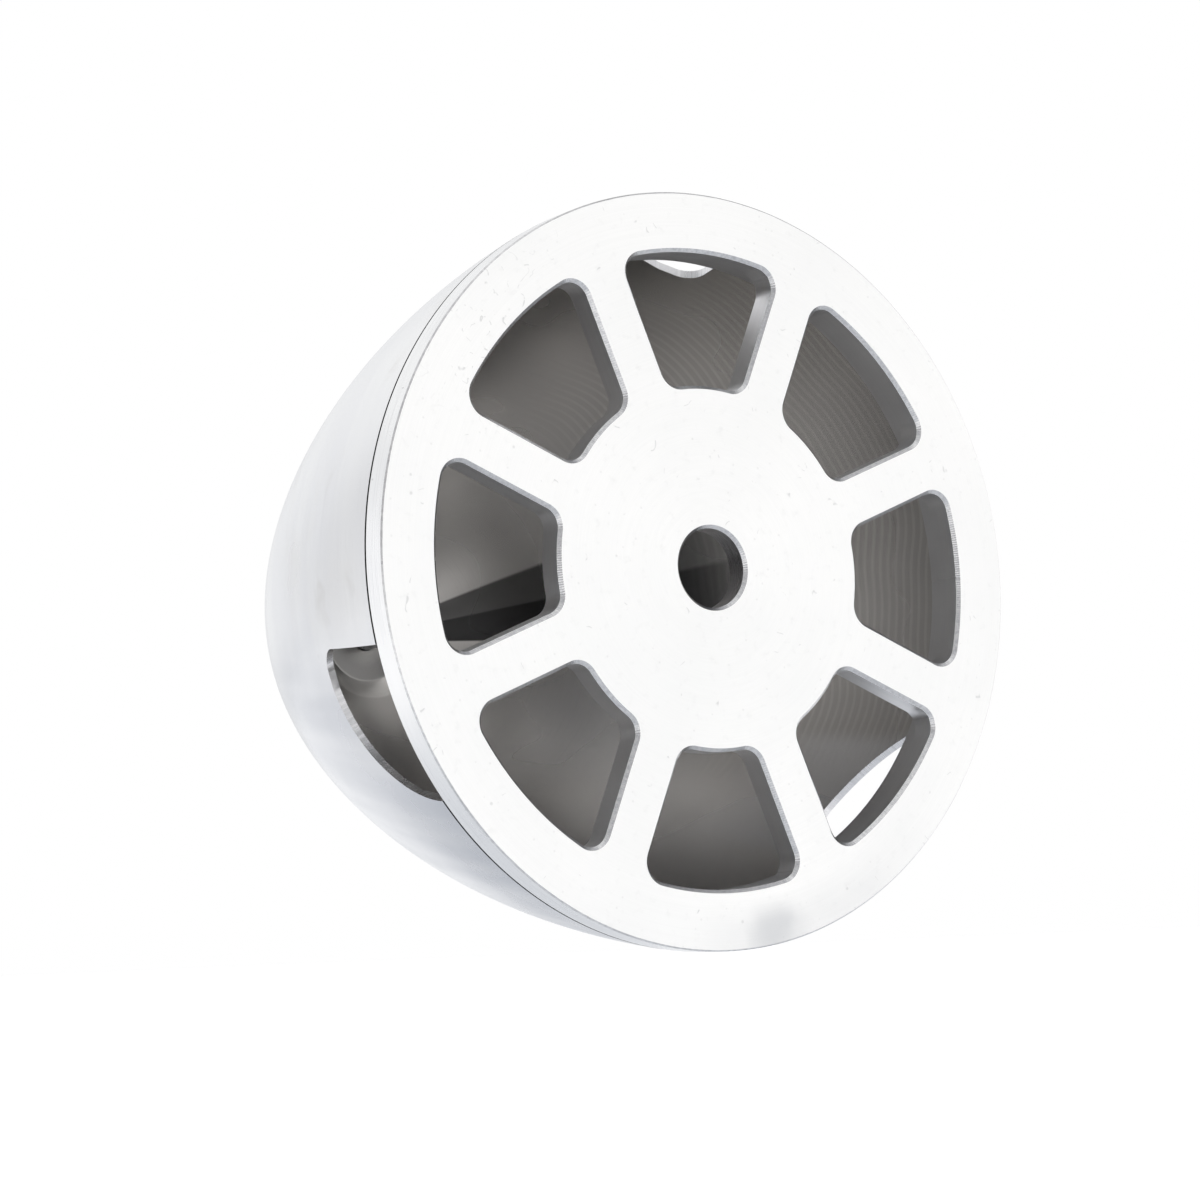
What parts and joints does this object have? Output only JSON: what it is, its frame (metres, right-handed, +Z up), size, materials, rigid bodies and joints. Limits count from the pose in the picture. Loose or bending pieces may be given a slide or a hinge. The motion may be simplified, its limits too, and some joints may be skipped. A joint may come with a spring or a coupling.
{
  "type": "propeller spinner",
  "caption": "Spinner for a three-blade propeller: windowed back plate with a shaft bore, thin ogive cone with a cut-out for each blade, and a button-head screw in the nose.",
  "frame": {"origin": "centre of the shaft bore at the back plate's rear face", "axes": "+Y along the thrust axis towards the nose, +Z up, +X to the right seen from behind"},
  "size_m": [0.0762, 0.0728, 0.0762],
  "materials": {
    "plate": "fine turned, bright",
    "cone": "satin polished outside, turned rings inside",
    "screw": "plain steel"
  },
  "bodies": {
    "root": {"back_plate": "plate", "nose_cone": "cone", "nose_screw": "screw"}
  },
  "joints": []
}
